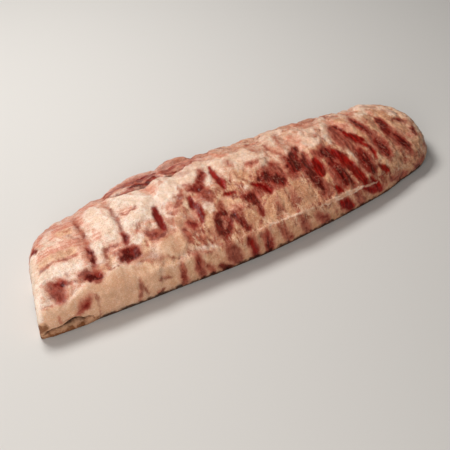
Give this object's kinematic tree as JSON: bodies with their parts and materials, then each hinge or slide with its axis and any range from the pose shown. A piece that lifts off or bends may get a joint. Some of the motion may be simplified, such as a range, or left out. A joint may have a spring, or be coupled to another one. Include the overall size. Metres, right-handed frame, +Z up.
{
  "type": "raw pork rib rack",
  "caption": "Long arched rack of raw pork spare ribs with creases between the ribs, pale fat patches, dark meat and a roll of meat on its back edge.",
  "frame": {"origin": "centre of the bounding box in X and Y, at the height of the surface that the rack rests on", "axes": "+X along the rack from its wide end to its narrow end, +Y from the front edge to the back edge, +Z up out of the outer side"},
  "size_m": [0.4478, 0.145, 0.0477],
  "materials": {
    "raw_pork": "moist raw pork: cream and pink fat with lilac brown and dark red meat"
  },
  "bodies": {
    "root": {"rib_rack": "raw_pork"}
  },
  "joints": []
}
